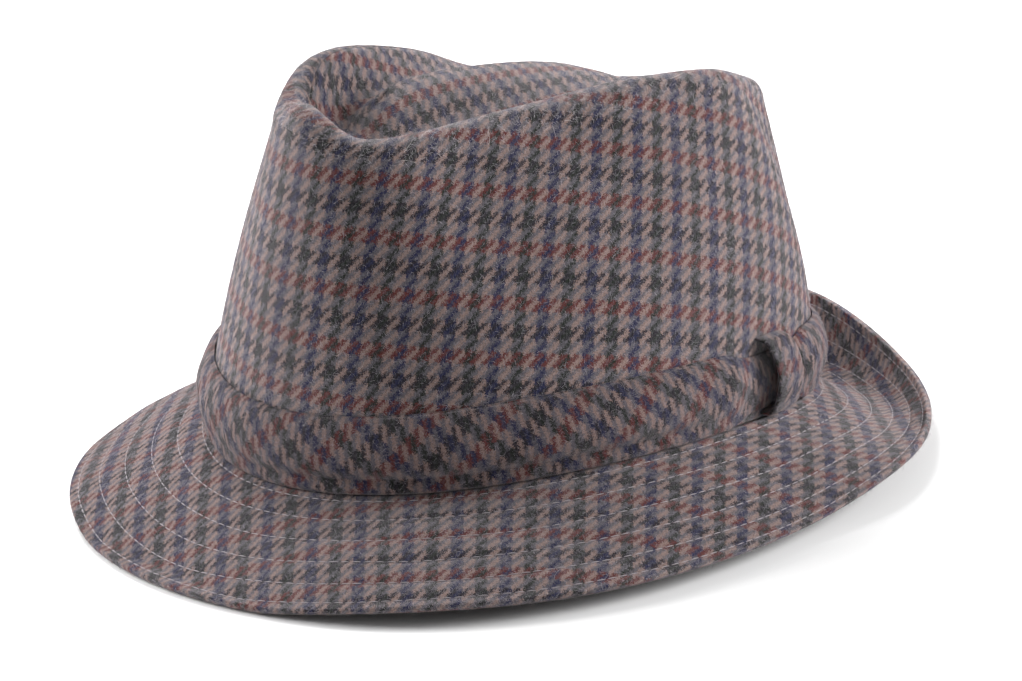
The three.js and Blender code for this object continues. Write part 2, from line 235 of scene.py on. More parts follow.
@dataclass(frozen=True)
class HatForm:
    """The hat's shape: the named sizes of the solids and the surfaces that follow from them."""

    head_length: float = 204
    head_width: float = 166
    crown_height: float = 105
    dent_depth: float = 20
    dent_lean: float = 0.8
    island_length: float = 86
    island_shift: float = 10
    island_ahead: float = 2
    base_wave: float = 5
    brim_width: float = 42
    brim_drop: float = 22
    cloth: float = 2
    brim_cloth: float = 2.6
    edge_round: float = 0.7
    clearance: float = 0.3
    rim_fold: float = 7
    seam_inset: float = 5
    band_height: float = 22
    band_proud: float = 4.2
    band_pleat: float = 1.6
    loop_turn: float = 105.5
    loop_width: float = 14
    loop_height: float = 24.5
    loop_proud: float = 7
    loop_cloth: float = 1.5
    loop_round: float = 0.6
    upright: float = 0.5
    pleat_middle: float = 42
    pleat_reach: float = 58
    pinch_reach: float = 14
    band_pinch: float = 0.7
    band_narrow: float = 0.25
    rest_pitch: float = 2.9
    settle: float = 1.6

    def base(self, turn: Array) -> Array:
        """The oval where crown and brim meet."""
        angle = np.radians(turn)
        return stack(
            self.head_width / 2 * np.sin(angle),
            -self.head_length / 2 * np.cos(angle),
            -self.base_wave * np.cos(2 * angle),
        )

    def outward(self, turn: Array) -> Array:
        """The level direction away from that oval."""
        angle = np.radians(turn)
        across, along = np.sin(angle) / self.head_width, -np.cos(angle) / self.head_length
        return unit(stack(across, along, 0 * angle))

    def rim(self, turn: Array) -> Array:
        """The rim's highest line."""
        return stack(
            self.head_width / 2 * RIM_ROWS.at("across", turn),
            self.head_length / 2 * RIM_ROWS.at("along", turn),
            self.crown_height * RIM_ROWS.at("height", turn),
        )

    def island(self, turn: Array) -> Array:
        """The line along the middle of the tip."""
        side = turns_apart(turn, 0)
        return stack(
            -self.island_shift + 0 * side,
            -self.island_length / 2 * np.cos(np.radians(side)) - self.island_ahead,
            self.crown_height * ISLAND_ROWS.at("height", side),
        )

    def wall_height(self, turn: Array) -> Array:
        """The height of the wall, from the brim to the fold."""
        return self.rim(turn)[..., 2] - self.rim_fold - self.base(turn)[..., 2]

    def wall(self, turn: Array, rise: Array) -> Array:
        """The wall below the fold; rise runs from 0 at the brim to 1."""
        base, rim = self.base(turn), self.rim(turn)
        foot = rim + self.outward(turn) * self.rim_fold
        upright = self.upright * self.band_height / self.wall_height(turn)
        power = RIM_ROWS.at("swell", turn)
        lean = (np.maximum(rise - upright, 0) / (1 - upright)) ** power
        return stack(
            base[..., 0] + (foot[..., 0] - base[..., 0]) * lean,
            base[..., 1] + (foot[..., 1] - base[..., 1]) * lean,
            base[..., 2] + (rim[..., 2] - self.rim_fold - base[..., 2]) * rise,
        )

    def crown(self, turn: Array, along: Array) -> Array:
        """The crown's outer skin: 0 to 1 up the wall, to 2 over the fold, to 3 across the tip."""
        turn, along = np.broadcast_arrays(np.asarray(turn, float), np.asarray(along, float))
        rim, island, out = self.rim(turn), self.island(turn), self.outward(turn)
        wall = self.wall(turn, np.clip(along, 0, 1))
        bend = np.clip(along - 1, 0, 1) * (math.pi / 2)
        fold = rim + out * (self.rim_fold * np.cos(bend))[..., None]
        fold[..., 2] -= self.rim_fold * (1 - np.sin(bend))
        across = np.clip(along - 2, 0, 1)
        dent = np.sin(math.pi * across**self.dent_lean) ** 2
        dent = self.dent_depth * RIM_ROWS.at("dent", turn) * dent
        tip = rim + (island - rim) * across[..., None]
        tip[..., 2] = rim[..., 2] + (island[..., 2] - rim[..., 2]) * smooth(across, 0, 1) - dent
        pick = along[..., None]
        return np.where(pick <= 1, wall, np.where(pick <= 2, fold, tip))

    def crown_normal(self, turn: Array, along: Array) -> Array:
        """The outward direction of the crown's skin."""
        step = 2e-3
        around = self.crown(turn + 1, along) - self.crown(turn - 1, along)
        up = self.crown(turn, along + step) - self.crown(turn, along - step)
        return unit(np.cross(around, up))

    def beside(self, turn: Array, height: Array, proud: Array) -> Array:
        """A place beside the crown's wall, at a height above the brim and a distance out."""
        place = self.wall(turn, height / self.wall_height(turn))
        return place + self.outward(turn) * (self.clearance + proud + 0 * height)[..., None]

    def seam(self, turn: Array) -> Array:
        """How far along the tip its seam lies."""
        reach = np.linalg.norm((self.rim(turn) - self.island(turn))[..., :2], axis=-1)
        return 2 + self.seam_inset * RIM_ROWS.at("inset", turn) / reach

    def brim(self, turn: Array, share: Array) -> Array:
        """The brim's middle surface, from the crown at 0 to its edge at 1."""
        first, second = 2 * share * (1 - share), share**2
        out = first * BRIM_ROWS.at("bendReach", turn) + second * BRIM_ROWS.at("reach", turn)
        down = first * BRIM_ROWS.at("bendDrop", turn) + second * BRIM_ROWS.at("drop", turn)
        reach = (self.clearance + self.brim_width * out)[..., None]
        point = self.base(turn + 0 * share) + self.outward(turn + 0 * share) * reach
        point[..., 2] -= self.brim_cloth / 2 + self.brim_drop * down
        return point

    def brim_up(self, turn: Array, share: Array) -> Array:
        """The direction of the brim's upper face."""
        step = 1e-3
        slope = unit(self.brim(turn, share + step) - self.brim(turn, share - step))
        flat = self.outward(turn + 0 * share)
        up = flat * -slope[..., 2:3]
        up[..., 2] += (slope * flat).sum(-1)
        return unit(up)

    def settled(self, points: Array, lowest: Array | float = 0.0) -> Array:
        """The points with the hat turned onto the surface that it rests on."""
        pitch = math.radians(-self.rest_pitch)
        reach = float(BRIM_ROWS.at("reach", np.array(0.0)))
        drop = -self.base_wave - self.brim_drop - self.brim_cloth / 2
        front = -self.head_length / 2 - self.brim_width * reach
        lift = -(drop * math.cos(pitch) + front * math.sin(pitch)) - self.settle
        x, y, z = points[..., 0], points[..., 1], points[..., 2]
        high = np.maximum(y * math.sin(pitch) + z * math.cos(pitch) + lift, lowest)
        return stack(x, y * math.cos(pitch) - z * math.sin(pitch), high)


def srgb(red: int, green: int, blue: int) -> Color:
    """A display colour from 0 to 255 as linear light."""

    def line(value: int) -> float:
        """One channel as linear light."""
        share = value / 255
        return share / 12.92 if share <= 0.04045 else ((share + 0.055) / 1.055) ** 2.4

    return line(red), line(green), line(blue)


class Grain(Enum):
    """How a piece is cut from the cloth: the angle of its warp."""

    STRAIGHT = 0
    BIAS = 45
    CROSS = 90


@dataclass(frozen=True)
class ClothFinish:
    """One cloth: the tones of its threads and how worn and fuzzy it looks."""

    name: str
    slot: str
    tone: Color = (1.0, 1.0, 1.0)
    fuzz: float = 0.3
    wobble: float = 0.55
    sheen: float = 0.4
    sheen_rough: float = 0.3
    sheen_tint: Color = srgb(228, 222, 224)
    rough: float = 0.95
    gloss: float = 0.15
    weave_relief: float = 0.6
    fuzz_relief: float = 0.7
    bump: float = 0.55
    bump_depth: float = 0.35


@dataclass(frozen=True)
class ThreadFinish:
    """A plain thread or fibre."""

    name: str
    slot: str
    color: Color
    rough: float = 0.8
    sheen: float = 0.3


@dataclass(frozen=True)
class Noise:
    """The scale, detail and roughness of a noise over the cloth."""

    scale: float
    detail: float
    rough: float


@dataclass(frozen=True)
class Yarn:
    """The yarns of the check, their spacing in millimetres, how far they stray, and the shade
    painted across each thread's round.
    """

    warp: tuple[Color, ...] = (
        srgb(36, 40, 72),
        srgb(152, 128, 120),
        srgb(34, 40, 32),
        srgb(152, 128, 120),
    )
    weft: tuple[Color, ...] = (
        srgb(100, 48, 44),
        srgb(100, 96, 102),
        srgb(38, 34, 40),
        srgb(100, 96, 102),
    )
    warp_space: float = 0.86
    weft_space: float = 0.98
    threads_each: int = 4
    over: int = 2
    drift: Noise = Noise(0.9, 3.0, 0.6)
    drift_reach: float = 1.3
    stray: Noise = Noise(2.4, 4.0, 0.8)
    stray_reach: float = 9.0
    # Painted shade and highlight: a thread's colour is scaled by its height times the first number
    # plus the second, so it is darker at its edges and lighter on its crown.
    thread_painted_highlight: float = 0.6
    thread_painted_shade: float = 0.5


@dataclass(frozen=True)
class Fibres:
    """The raised fibres in the cloth's colour: hairs, specks that are partly the fibres' own tone
    and partly painted shade between them, and broad patches.
    """

    hairs: Noise = Noise(2.2, 4.0, 0.85)
    hair_stretch: float = 0.4
    hair_start: float = 0.47
    hair_contrast: float = 6.0
    hair_color: Color = srgb(142, 138, 148)
    # Specks: random darker and paler spots, partly the fibres' own tone and partly painted shade
    # between fibres.
    specks: Noise = Noise(1.9, 4.0, 0.9)
    speck_contrast: float = 3.4
    speck_base: float = -0.75
    patches: Noise = Noise(0.07, 3.0, 0.6)
    patch_contrast: float = 0.3
    patch_base: float = 0.85


class NodeSheet:
    """A short way to lay out shader nodes."""

    def __init__(self, tree: bpy.types.NodeTree) -> None:
        """Keeps the tree that the nodes go into."""
        self.tree = tree

    def node(self, kind: str, **settings: Any) -> bpy.types.Node:
        """A new node of a kind with its settings."""
        made = self.tree.nodes.new(kind)
        for key, value in settings.items():
            setattr(made, key, value)
        return made

    def link(self, source: Any, target: Any) -> None:
        """Feeds a value or a socket into a socket."""
        if isinstance(source, bpy.types.NodeSocket):
            self.tree.links.new(source, target)
        else:
            target.default_value = source

    def math(self, operation: str, *values: Any) -> bpy.types.NodeSocket:
        """One sum on numbers or sockets."""
        made = self.node("ShaderNodeMath", operation=operation)
        for value, target in zip(values, made.inputs):
            self.link(value, target)
        return made.outputs[0]

    def vector(self, operation: str, *values: Any) -> bpy.types.NodeSocket:
        """One sum on vectors."""
        made = self.node("ShaderNodeVectorMath", operation=operation)
        for value, target in zip(values, made.inputs):
            self.link(value, target)
        return made.outputs[0]

    def mix(self, share: Any, first: Any, second: Any, blend: str = "MIX") -> bpy.types.NodeSocket:
        """Two colours mixed."""
        made = self.node("ShaderNodeMix", data_type="RGBA", blend_type=blend)
        self.link(share, made.inputs[0])
        self.link(first, made.inputs[6])
        self.link(second, made.inputs[7])
        return made.outputs[2]

    def shaded(self, color: Any, level: Any) -> bpy.types.NodeSocket:
        """A colour made darker or lighter by a level."""
        grey = self.mix(level, (0, 0, 0, 1), (1, 1, 1, 1))
        return self.mix(1.0, color, grey, "MULTIPLY")

    def scaled(self, value: Any, contrast: float, base: float) -> bpy.types.NodeSocket:
        """A value times its contrast, on a base."""
        return self.math("ADD", self.math("MULTIPLY", value, contrast), base)

    def noise(self, place: Any, noise: Noise) -> bpy.types.Node:
        """A noise texture over a place."""
        made = self.node("ShaderNodeTexNoise")
        self.link(place, made.inputs["Vector"])
        made.inputs["Scale"].default_value = noise.scale
        made.inputs["Detail"].default_value = noise.detail
        made.inputs["Roughness"].default_value = noise.rough
        return made

    def push(self, place: Any, noise: Noise, reach: float) -> bpy.types.NodeSocket:
        """A noise as a push to any side on the cloth."""
        color = self.noise(place, noise).outputs["Color"]
        centred = self.vector("SUBTRACT", color, (0.5, 0.5, 0.5))
        return self.vector("MULTIPLY", centred, (reach, reach, 0))

    def steps(self, share: Any, colors: Sequence[Color]) -> bpy.types.NodeSocket:
        """One of several colours by a share from 0 to 1."""
        made = self.node("ShaderNodeValToRGB")
        ramp = made.color_ramp
        ramp.interpolation = "CONSTANT"
        ramp.elements[0].color = (*colors[0], 1)
        ramp.elements[1].position = 1 / len(colors)
        ramp.elements[1].color = (*colors[1], 1)
        for number, color in enumerate(colors[2:], start=2):
            ramp.elements.new(number / len(colors)).color = (*color, 1)
        self.link(share, made.inputs[0])
        return made.outputs[0]


def open_group(
    name: str, inputs: dict[str, str], outputs: dict[str, str]
) -> tuple[NodeSheet, bpy.types.Node, bpy.types.Node]:
    """A new shader node group.

    Args:
        name: the group's name.
        inputs: the kind of each input socket by name.
        outputs: the kind of each output socket by name.

    Returns:
        The sheet to lay nodes on, the input node and the output node.
    """
    tree = bpy.data.node_groups.new(name, "ShaderNodeTree")
    for in_out, sockets in (("INPUT", inputs), ("OUTPUT", outputs)):
        for label, kind in sockets.items():
            tree.interface.new_socket(label, in_out=in_out, socket_type=kind)
    sheet = NodeSheet(tree)
    return sheet, sheet.node("NodeGroupInput"), sheet.node("NodeGroupOutput")


def weave_group(yarn: Yarn) -> bpy.types.NodeTree:
    """The check, woven as a two and two twill, from cloth coordinates in millimetres, with painted
    shade: each thread darker at its edges and lighter on its crown.
    """
    sheet, given, result = open_group(
        "checked_twill",
        {"Cloth": "NodeSocketVector", "Wobble": "NodeSocketFloat"},
        {"Color": "NodeSocketColor", "Height": "NodeSocketFloat"},
    )
    cloth = given.outputs["Cloth"]
    drift = sheet.push(cloth, yarn.drift, yarn.drift_reach)
    stray = sheet.push(cloth, yarn.stray, yarn.stray_reach)
    wobbly = sheet.node("ShaderNodeVectorMath", operation="SCALE")
    sheet.link(sheet.vector("ADD", drift, stray), wobbly.inputs[0])
    sheet.link(given.outputs["Wobble"], wobbly.inputs["Scale"])
    place = sheet.node("ShaderNodeSeparateXYZ")
    sheet.link(sheet.vector("ADD", cloth, wobbly.outputs[0]), place.inputs[0])
    numbers, ridges, colors = [], [], []
    spaces = (yarn.warp_space, yarn.weft_space)
    for at, space, tones in zip(place.outputs, spaces, (yarn.warp, yarn.weft)):
        threads = sheet.math("DIVIDE", at, space)
        number = sheet.math("FLOOR", threads)
        repeat = yarn.threads_each * len(tones)
        share = sheet.math("DIVIDE", sheet.math("FLOORED_MODULO", number, repeat), repeat)
        rise = sheet.math("MULTIPLY", sheet.math("FRACT", threads), math.pi)
        numbers.append(number)
        ridges.append(sheet.math("SINE", rise))
        colors.append(sheet.steps(sheet.math("ADD", share, NUDGE), tones))
    steps = sheet.math("SUBTRACT", *numbers)
    diagonal = sheet.math("FLOORED_MODULO", steps, 2 * yarn.over)
    warp_on_top = sheet.math("LESS_THAN", diagonal, yarn.over - 0.5)
    height = sheet.node("ShaderNodeMix", data_type="FLOAT")
    sheet.link(warp_on_top, height.inputs[0])
    sheet.link(ridges[1], height.inputs[2])
    sheet.link(ridges[0], height.inputs[3])
    color = sheet.mix(warp_on_top, colors[1], colors[0])
    # Painted shade and highlight: the thread's colour darkened at its edges and lightened on its
    # crown, by its height.
    painted_thread_shade_level = sheet.scaled(height.outputs[0], yarn.thread_painted_highlight, yarn.thread_painted_shade)
    sheet.link(sheet.shaded(color, painted_thread_shade_level), result.inputs["Color"])
    sheet.link(height.outputs[0], result.inputs["Height"])
    return sheet.tree


def fuzz_group(fibres: Fibres) -> bpy.types.NodeTree:
    """Raised fibres over a colour: paler streaks of wool, broad paler and darker patches, random
    specks that are partly the fibres' tone and partly painted shade between fibres, and the hairs'
    height.
    """
    sheet, given, result = open_group(
        "wool_fuzz",
        {"Cloth": "NodeSocketVector", "Color": "NodeSocketColor", "Amount": "NodeSocketFloat"},
        {"Color": "NodeSocketColor", "Height": "NodeSocketFloat"},
    )
    cloth = given.outputs["Cloth"]
    stretched = sheet.vector("MULTIPLY", cloth, (1.0, fibres.hair_stretch, 1.0))
    hairs, specks, patches = (
        sheet.noise(place, noise).outputs["Fac"]
        for place, noise in (
            (stretched, fibres.hairs), (cloth, fibres.specks), (cloth, fibres.patches)
        )
    )
    above = sheet.math("SUBTRACT", hairs, fibres.hair_start)
    pale = sheet.node("ShaderNodeClamp")
    sheet.link(sheet.math("MULTIPLY", above, fibres.hair_contrast), pale.inputs[0])
    share = sheet.math("MULTIPLY", pale.outputs[0], given.outputs["Amount"])
    paler = sheet.mix(share, given.outputs["Color"], (*fibres.hair_color, 1))
    # Specks darken and lighten the colour at random: partly fibre tone, partly painted shade
    # between the fibres.
    speck_tone_and_shade = sheet.scaled(specks, fibres.speck_contrast, fibres.speck_base)
    broad = sheet.scaled(patches, fibres.patch_contrast, fibres.patch_base)
    level = sheet.math("MULTIPLY", speck_tone_and_shade, broad)
    sheet.link(sheet.shaded(paler, level), result.inputs["Color"])
    sheet.link(hairs, result.inputs["Height"])
    return sheet.tree


def new_material(name: str) -> tuple[bpy.types.Material, NodeSheet, bpy.types.Node]:
    """A new material with its nodes and its shader."""
    material = bpy.data.materials.new(name)
    material.use_nodes = True
    nodes = material.node_tree.nodes
    shader = next(node for node in nodes if node.type == "BSDF_PRINCIPLED")
    return material, NodeSheet(material.node_tree), shader


def set_up(node: bpy.types.Node, values: dict[str, Any]) -> None:
    """Sets a node's sockets by name."""
    for name, value in values.items():
        node.inputs[name].default_value = value


class Finisher:
    """Makes the materials from the shared groups."""

    def __init__(self, yarn: Yarn, fibres: Fibres) -> None:
        """Builds the shared groups once."""
        self.weave = weave_group(yarn)
        self.fuzz = fuzz_group(fibres)

    def cloth(self, finish: ClothFinish) -> bpy.types.Material:
        """The material of one cloth."""
        material, sheet, shader = new_material(finish.name)
        uv = sheet.node("ShaderNodeUVMap", uv_map="cloth")
        weave = sheet.node("ShaderNodeGroup", node_tree=self.weave)
        sheet.link(uv.outputs[0], weave.inputs["Cloth"])
        weave.inputs["Wobble"].default_value = finish.wobble
        fuzz = sheet.node("ShaderNodeGroup", node_tree=self.fuzz)
        sheet.link(uv.outputs[0], fuzz.inputs["Cloth"])
        sheet.link(weave.outputs["Color"], fuzz.inputs["Color"])
        fuzz.inputs["Amount"].default_value = finish.fuzz
        toned = sheet.mix(1.0, fuzz.outputs["Color"], (*finish.tone, 1), "MULTIPLY")
        sheet.link(toned, shader.inputs["Base Color"])
        set_up(shader, {
            "Roughness": finish.rough,
            "Specular IOR Level": finish.gloss,
            "Sheen Weight": finish.sheen,
            "Sheen Roughness": finish.sheen_rough,
            "Sheen Tint": (*finish.sheen_tint, 1),
        })
        threads = sheet.math("MULTIPLY", weave.outputs["Height"], finish.weave_relief)
        hairs = sheet.math("MULTIPLY", fuzz.outputs["Height"], finish.fuzz_relief)
        bump = sheet.node("ShaderNodeBump")
        set_up(bump, {"Strength": finish.bump, "Distance": finish.bump_depth * MM})
        sheet.link(sheet.math("ADD", threads, hairs), bump.inputs["Height"])
        sheet.link(bump.outputs[0], shader.inputs["Normal"])
        return material

    def thread(self, finish: ThreadFinish) -> bpy.types.Material:
        """The material of a plain thread."""
        material, _, shader = new_material(finish.name)
        set_up(shader, {
            "Base Color": (*finish.color, 1),
            "Roughness": finish.rough,
            "Sheen Weight": finish.sheen,
        })
        return material


def mesh_object(
    name: str, points: Array, faces: Array, cloth: Array | None = None
) -> bpy.types.Object:
    """A smooth mesh object from points in millimetres.

    Args:
        name: the object's name.
        points: one row for each vertex.
        faces: four vertex numbers for each face.
        cloth: where each face corner lies on the flat cloth, in millimetres.

    Returns:
        The object, linked to the scene.
    """
    mesh = bpy.data.meshes.new(name)
    mesh.from_pydata((points * MM).tolist(), [], faces.tolist())
    mesh.polygons.foreach_set("use_smooth", np.ones(len(mesh.polygons), dtype=bool))
    if cloth is not None:
        layer = mesh.uv_layers.new(name="cloth")
        layer.data.foreach_set("uv", cloth.astype(np.float32).ravel())
    mesh.update()
    made = bpy.data.objects.new(name, mesh)
    bpy.context.scene.collection.objects.link(made)
    return made


def sweep(name: str, points: Array, cloth: Array, rows_close: bool) -> bpy.types.Object:
    """A surface through sections around the hat, each closed on itself.

    Args:
        name: the object's name.
        points: sections by points by 3, in millimetres.
        cloth: sections by points by 2: the place on the flat cloth.
        rows_close: whether the last section meets the first.

    Returns:
        The object.
    """
    rows, columns = points.shape[:2]
    i = np.arange(rows if rows_close else rows - 1)
    near, low = np.meshgrid(i, np.arange(columns), indexing="ij")
    far, high = (near + 1) % rows, (low + 1) % columns
    corners = [(near, low), (far, low), (far, high), (near, high)]
    faces = np.stack([(a * columns + b).ravel() for a, b in corners], axis=-1)
    flat = cloth.reshape(-1, 2)[faces]
    return mesh_object(name, points.reshape(-1, 3), faces, flat)


def merged(made: bpy.types.Object) -> bpy.types.Object:
    """The object with vertices in one place joined."""
    work = bmesh.new()
    work.from_mesh(made.data)
    bmesh.ops.remove_doubles(work, verts=work.verts, dist=JOIN_REACH * MM)
    bmesh.ops.recalc_face_normals(work, faces=work.faces)
    work.to_mesh(made.data)
    work.free()
    return made


def arc_lengths(points: Array) -> Array:
    """The length along a line of points up to each of them."""
    steps = np.linalg.norm(np.diff(points, axis=-2), axis=-1)
    zero = np.zeros((*steps.shape[:-1], 1))
    return np.concatenate([zero, np.cumsum(steps, axis=-1)], axis=-1)


def rotated(cloth: Array, degrees: float) -> Array:
    """Places on the cloth turned by an angle."""
    angle = math.radians(degrees)
    x, y, sine, cosine = cloth[..., 0], cloth[..., 1], math.sin(angle), math.cos(angle)
    return stack(x * cosine + y * sine, y * cosine - x * sine)


@dataclass
class Skin:
    """A grid of points on a shown face, with its normals, for what grows or is sewn on it."""

    points: Array
    normals: Array

    def scatter(self, count: int, chance: np.random.Generator) -> tuple[Array, Array]:
        """Random places on the skin, even over its area.

        Args:
            count: how many places.
            chance: the source of random numbers.

        Returns:
            The places and the outward directions there.
        """
        p, n = self.points, self.normals
        across = p[1:, :-1] - p[:-1, :-1]
        up = p[:-1, 1:] - p[:-1, :-1]
        area = np.linalg.norm(np.cross(across, up), axis=-1)
        cell = chance.choice(area.size, size=count, p=(area / area.sum()).ravel())
        i, k = np.unravel_index(cell, area.shape)
        u, v = chance.random((count, 1)), chance.random((count, 1))

        def blend(grid: Array) -> Array:
            """The grid's value at the random place in each cell."""
            low = grid[i, k] * (1 - u) + grid[i + 1, k] * u
            high = grid[i, k + 1] * (1 - u) + grid[i + 1, k + 1] * u
            return low * (1 - v) + high * v

        return blend(p), unit(blend(n))


def outward_normals(points: Array) -> Array:
    """The normals of a grid of points, to the side that its rows and columns turn to."""
    along_rows = np.gradient(points, axis=0)
    along_columns = np.gradient(points, axis=1)
    return unit(np.cross(along_rows, along_columns))


@dataclass
class Piece:
    """What every sub-assembly shares: the form, the finisher and where the solids stand."""

    form: HatForm
    finisher: Finisher
    shift: Array
    skins: dict[str, Skin] = field(default_factory=dict)

    def placed(self, points: Array) -> Array:
        """Points in the form moved to where the solids stand."""
        return points + self.shift

    def dress(
        self, made: bpy.types.Object, material: bpy.types.Material, slot: str, *nodes: str
    ) -> None:
        """Gives a piece its material and body, and hides the solids that it stands for."""
        made.data.materials.clear()
        made.data.materials.append(material)
        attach(made, BODY)
        if nodes:
            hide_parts(*nodes)
        LOG.info("%s: %d faces", made.name, len(made.data.polygons))


def arc_share(line: Array) -> Array:
    """How far along a closed line its points lie, from -1 to 1."""
    length = arc_lengths(line)
    return 2 * length / length[-1] - 1


@dataclass
class CrownSide(Piece):
    """The side panel: up from the brim, over the rim and down to the tip's seam."""

    sections: int = 300
    wall_steps: int = 44
    fold_steps: int = 10
    seam_steps: int = 5
    cone_reach: float = 640
    grain_turn: float = -4
    seam_tuck: float = 0.2
    tuck_share: float = 1.6 / 30
    lump_height: float = 0.28
    lump_waves: tuple[Wave, ...] = (Wave(3, 2.2), Wave(7, -3.1, 1.3, 0.7), Wave(13, 5.0, 0.4, 0.5))
    finish: ClothFinish = ClothFinish("crown_wool", "crown_cloth", sheen=0.6)

    def lumps(self, turn: Array, along: Array) -> Array:
        """The cloth's soft unevenness, in millimetres."""
        held = smooth(along, 0.1, 0.5) * (1 - smooth(along, 1.2, 2.0))
        return self.lump_height * waved(turn, along, self.lump_waves) * held

    def build(self) -> bpy.types.Object:
        """Builds and dresses the side panel."""
        form = self.form
        turn = np.linspace(-180, 180, self.sections + 1)[:, None]
        seam = form.seam(turn)
        wall = np.linspace(0, 1, self.wall_steps + 1)[None, :] + 0 * turn
        fold = 1 + np.linspace(0, 1, self.fold_steps + 1)[None, 1:] + 0 * turn
        last = 2 + (seam - 2) * np.linspace(0, 1, self.seam_steps + 1)[None, 1:]
        along = np.concatenate([wall, fold, last], axis=1)
        normal = form.crown_normal(turn + 0 * along, along)
        tuck = self.seam_tuck * smooth(along, seam - self.tuck_share, seam)
        lift = self.lumps(turn + 0 * along, along) - tuck
        outer = form.crown(turn, along) + normal * lift[..., None]
        inner = form.crown(turn, along) - normal * form.cloth
        outer, inner = (self.placed(form.settled(points)) for points in (outer, inner))
        cloth = self.cloth_places(turn, np.clip(along, 0, 1), outer)
        points = np.concatenate([outer, inner[:, ::-1]], axis=1)
        places = np.concatenate([cloth, cloth[:, ::-1]], axis=1)
        made = merged(sweep("crown_side_cloth", points, places, False))
        self.dress(made, self.finisher.cloth(self.finish), self.finish.slot, "crown_side")
        out = outward_normals(outer)
        fold_rows = slice(self.wall_steps, self.wall_steps + self.fold_steps)
        self.skins["crown"] = Skin(outer, out)
        self.skins["fold"] = Skin(outer[:, fold_rows], out[:, fold_rows])
        return made

    def cloth_places(self, turn: Array, rise: Array, outer: Array) -> Array:
        """The panel laid flat as part of a ring, eased round the rim."""
        fine = np.linspace(-180, 180, FINE_TURNS)
        base, rim = self.form.base(fine), self.form.rim(fine)
        at_base, at_rim = (np.interp(turn, fine, arc_share(line)) for line in (base, rim))
        half = arc_lengths(base)[-1] / 2
        angle = (at_base + (at_rim - at_base) * rise**2) * half / self.cone_reach
        radius = self.cone_reach - arc_lengths(outer)
        return rotated(stack(radius * np.sin(angle), -radius * np.cos(angle)), self.grain_turn)


@dataclass
class CrownTip(Piece):
    """The top panel with its ridge and the dents round it, its weft along the hat."""

    sections: int = 300
    steps: int = 40
    easing: int = 40
    ease_most: float = 0.7
    ease_from: float = 0.5
    ease_full: float = 0.85
    seam_gap: float = 0.05
    seam_tuck: float = 0.2
    tuck_reach: float = 1.8
    last_normal: float = 2.985
    finish: ClothFinish = ClothFinish("tip_wool", "tip_cloth")

    def build(self) -> bpy.types.Object:
        """Builds and dresses the top panel."""
        form = self.form
        turn = np.linspace(-180, 180, self.sections + 1)[:, None]
        reach = np.linalg.norm((form.rim(turn) - form.island(turn))[..., :2], axis=-1)
        start = form.seam(turn) + self.seam_gap / reach
        share = np.linspace(0, 1, self.steps + 1)[None, :]
        along = start + (3 - start) * share
        normal = form.crown_normal(turn + 0 * along, np.minimum(along, self.last_normal))
        tuck = self.seam_tuck * (1 - smooth((along - start) * reach, 0, self.tuck_reach))
        outer = self.eased(form.crown(turn, along) - normal * tuck[..., None])
        inner = self.eased(form.crown(turn, along) - normal * form.cloth)
        inner[:, -1] = outer[:, -1] - np.array([0, 0, form.cloth])
        outer, inner = (self.placed(form.settled(points)) for points in (outer, inner))
        length = arc_lengths(outer)
        from_ridge = length[:, -1:] - length
        ridge = outer[:, -1:, :2]
        level = unit(outer[:, :1, :2] - ridge)
        flat = ridge + level * from_ridge[..., None]
        cloth = rotated(flat, Grain.CROSS.value)
        points = np.concatenate([outer[:, ::-1], inner], axis=1)[:, ::-1]
        places = np.concatenate([cloth[:, ::-1], cloth], axis=1)[:, ::-1]
        made = merged(sweep("crown_tip_cloth", points, places, False))
        self.dress(made, self.finisher.cloth(self.finish), self.finish.slot, "crown_tip")
        self.skins["tip"] = Skin(outer, outward_normals(outer))
        return made

    def eased(self, points: Array) -> Array:
        """The skin with the gathers along the ridge eased out, most where it is tightest."""
        body = points[:-1]
        share = np.linspace(0, 1, self.steps + 1)
        weight = self.ease_most * smooth(share, self.ease_from, self.ease_full)[None, :, None]
        opposite = -np.arange(self.sections) % self.sections
        for _ in range(self.easing):
            around = np.roll(body, 1, axis=0) + np.roll(body, -1, axis=0)
            inward = np.concatenate([body[:, 1:], body[opposite][:, -2:-1]], axis=1)
            outward = np.concatenate([body[:, :1], body[:, :-1]], axis=1)
            body = body + weight * ((around + inward + outward) / 4 - body)
        return np.concatenate([body, body[:1]])


